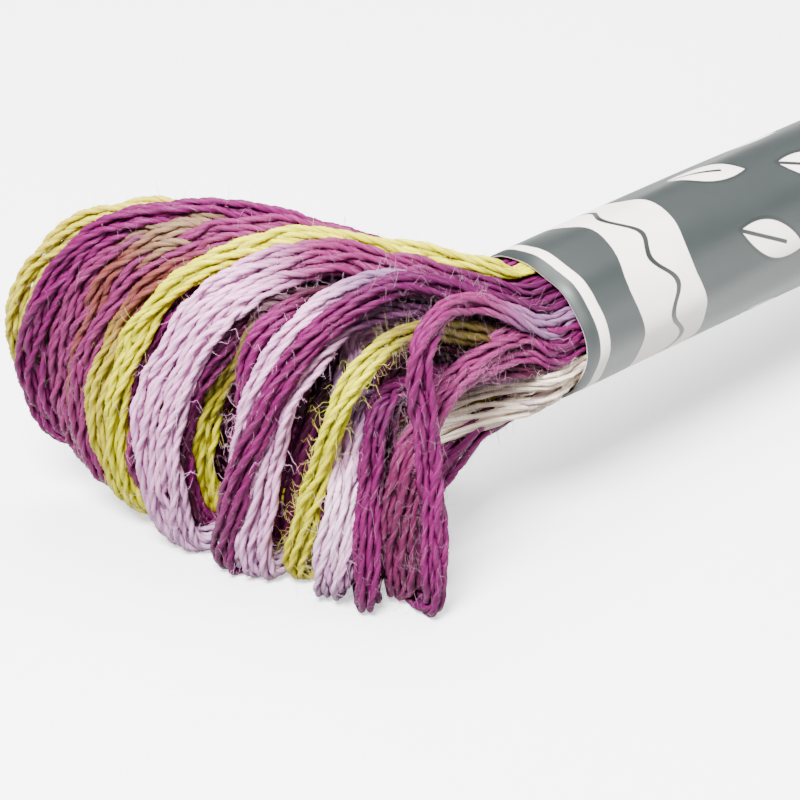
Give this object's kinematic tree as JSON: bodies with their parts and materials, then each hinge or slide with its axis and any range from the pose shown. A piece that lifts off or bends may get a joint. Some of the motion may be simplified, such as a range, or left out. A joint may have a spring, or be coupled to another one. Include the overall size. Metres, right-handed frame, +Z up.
{
  "type": "embroidery floss skein",
  "caption": "Skein of space-dyed cotton embroidery floss held by a paper band, one end opened into a fan of hanging loops, the other a close sheaf.",
  "frame": {"origin": "on the surface it lies on, below the middle of the bounding box", "axes": "+X along the skein from the open fan to the closed sheaf, +Z up, +Y to the side to which the fan opens"},
  "size_m": [0.1274, 0.0258, 0.021],
  "materials": {
    "floss_cotton": "space-dyed mercerised cotton thread, soft sheen, plum, lilac and straw yellow",
    "band_paper": "coated grey-green label paper with off-white printed bands"
  },
  "bodies": {
    "root": {"floss_skein": "floss_cotton", "paper_band": "band_paper"}
  },
  "joints": []
}
